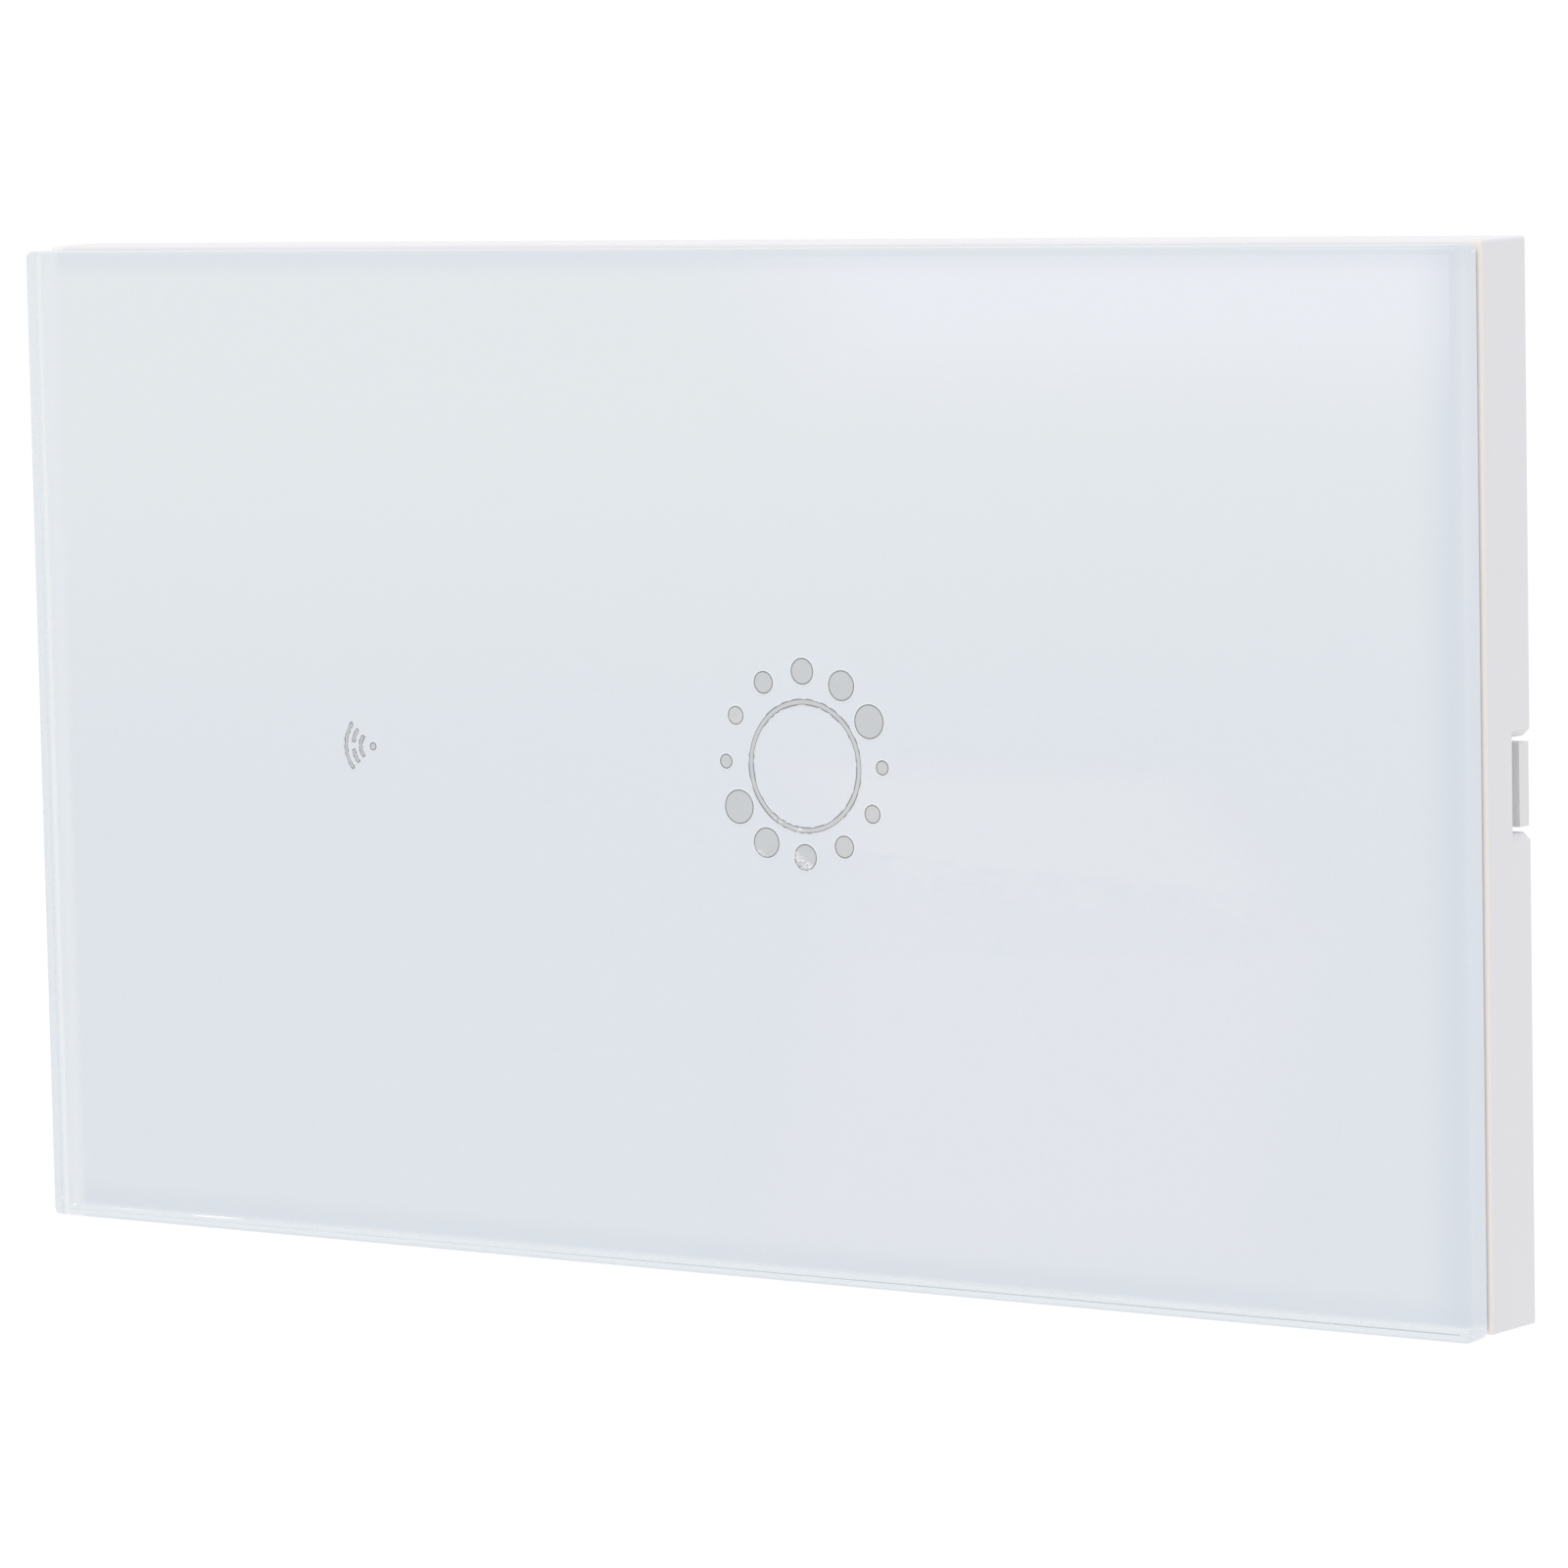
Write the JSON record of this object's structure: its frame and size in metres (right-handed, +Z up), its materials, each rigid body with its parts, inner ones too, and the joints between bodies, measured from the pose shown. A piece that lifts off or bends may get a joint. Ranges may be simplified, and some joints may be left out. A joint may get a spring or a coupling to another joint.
{
  "type": "wifi touch switch",
  "caption": "Glass-fronted touch wall switch with a ring of graduated dots and a radio sign, a thin white frame that pulls off, and a rear housing with screw terminals.",
  "frame": {"origin": "centre of the box-screw pattern on the plane of the wall", "axes": "+X along the long side towards the pry notch, +Z up the short side, +Y into the wall, so the glass faces -Y; shown landscape as in the picture"},
  "size_m": [0.1204, 0.0349, 0.0724],
  "materials": {
    "clear_glass": "clear, polished, ground edges",
    "white_print": "white screen print behind the glass",
    "grey_ink": "translucent grey ink",
    "clear_film": "clear double-sided film",
    "frame_plastic": "white, fine satin",
    "frosted_plastic": "frosted",
    "base_plastic": "white, fine grain",
    "housing_plastic": "white, fine grain",
    "white_laminate": "white solder mask",
    "green_laminate": "green solder mask",
    "dark_laminate": "dark solder mask",
    "terminal_plastic": "green moulded",
    "brass_strip": "punched",
    "brass_pin": "plated",
    "brass_cage": "plated",
    "zinc_steel": "zinc plated",
    "spring_steel": "drawn wire",
    "tinned_shield": "tinned",
    "lamp_resin": "clear resin",
    "black_epoxy": "moulded epoxy",
    "chip_ceramic": "sintered",
    "header_plastic": "moulded",
    "relay_case": "moulded",
    "ferrite": "sintered",
    "winding_tape": "yellow tape",
    "film_case": "moulded",
    "blue_coating": "dipped",
    "fuse_coating": "lacquered",
    "choke_sleeve": "shrink sleeve",
    "can_sleeve": "sleeved aluminium can"
  },
  "bodies": {
    "base": {"base_plate": "base_plastic", "rear_housing": "housing_plastic", "control_board": "white_laminate", "power_board": "green_laminate", "terminal_block": "terminal_plastic", "busbars": "brass_strip", "board_screws": "zinc_steel", "housing_screws": "zinc_steel", "touch_spring": "spring_steel", "indicator_lamps": "lamp_resin", "touch_chip": "black_epoxy", "chip_parts": "chip_ceramic", "logic_chip": "black_epoxy", "radio_board": "dark_laminate", "radio_shield": "tinned_shield", "header_pins": "brass_pin", "header_strip": "header_plastic", "header_socket": "header_plastic", "relay": "relay_case", "transformer_core": "ferrite", "transformer_coil": "winding_tape", "suppressor_capacitor": "film_case", "surge_disc": "blue_coating", "fuse_resistor": "fuse_coating", "bridge_rectifier": "black_epoxy", "input_choke": "choke_sleeve", "filter_capacitors": "can_sleeve"},
    "front_panel": {"glass_panel": "clear_glass", "back_print": "white_print", "printed_marks": "grey_ink", "adhesive_sheet": "clear_film", "front_frame": "frame_plastic", "ring_diffuser": "frosted_plastic", "fan_diffuser": "frosted_plastic"},
    "screw_1": {"terminal_screw_1": "zinc_steel"},
    "cage_1": {"clamp_cage_1": "brass_cage"},
    "screw_2": {"terminal_screw_2": "zinc_steel"},
    "cage_2": {"clamp_cage_2": "brass_cage"},
    "screw_3": {"terminal_screw_3": "zinc_steel"},
    "cage_3": {"clamp_cage_3": "brass_cage"}
  },
  "joints": [
    {"name": "panel_pull", "type": "slide", "parent": "base", "child": "front_panel", "axis": [0, -1, 0], "range_m": [0, 0.02]},
    {"name": "screw_turn_1", "type": "hinge", "parent": "base", "child": "screw_1", "pos_m": [0.0284, 0.01455, -0.0088], "axis": [-1, 0, 0], "range_deg": [0, 1440]},
    {"name": "cage_rise_1", "type": "slide", "parent": "base", "child": "cage_1", "axis": [1, 0, 0], "range_m": [0, 0.0024]},
    {"name": "screw_turn_2", "type": "hinge", "parent": "base", "child": "screw_2", "pos_m": [0.0284, 0.01455, 0], "axis": [-1, 0, 0], "range_deg": [0, 1440]},
    {"name": "cage_rise_2", "type": "slide", "parent": "base", "child": "cage_2", "axis": [1, 0, 0], "range_m": [0, 0.0024]},
    {"name": "screw_turn_3", "type": "hinge", "parent": "base", "child": "screw_3", "pos_m": [0.0284, 0.01455, 0.0088], "axis": [-1, 0, 0], "range_deg": [0, 1440]},
    {"name": "cage_rise_3", "type": "slide", "parent": "base", "child": "cage_3", "axis": [1, 0, 0], "range_m": [0, 0.0024]}
  ],
  "couplings": [
    {"joint": "screw_turn_1", "follows": "cage_rise_1", "rad_per_m": 10472},
    {"joint": "screw_turn_2", "follows": "cage_rise_2", "rad_per_m": 10472},
    {"joint": "screw_turn_3", "follows": "cage_rise_3", "rad_per_m": 10472}
  ]
}
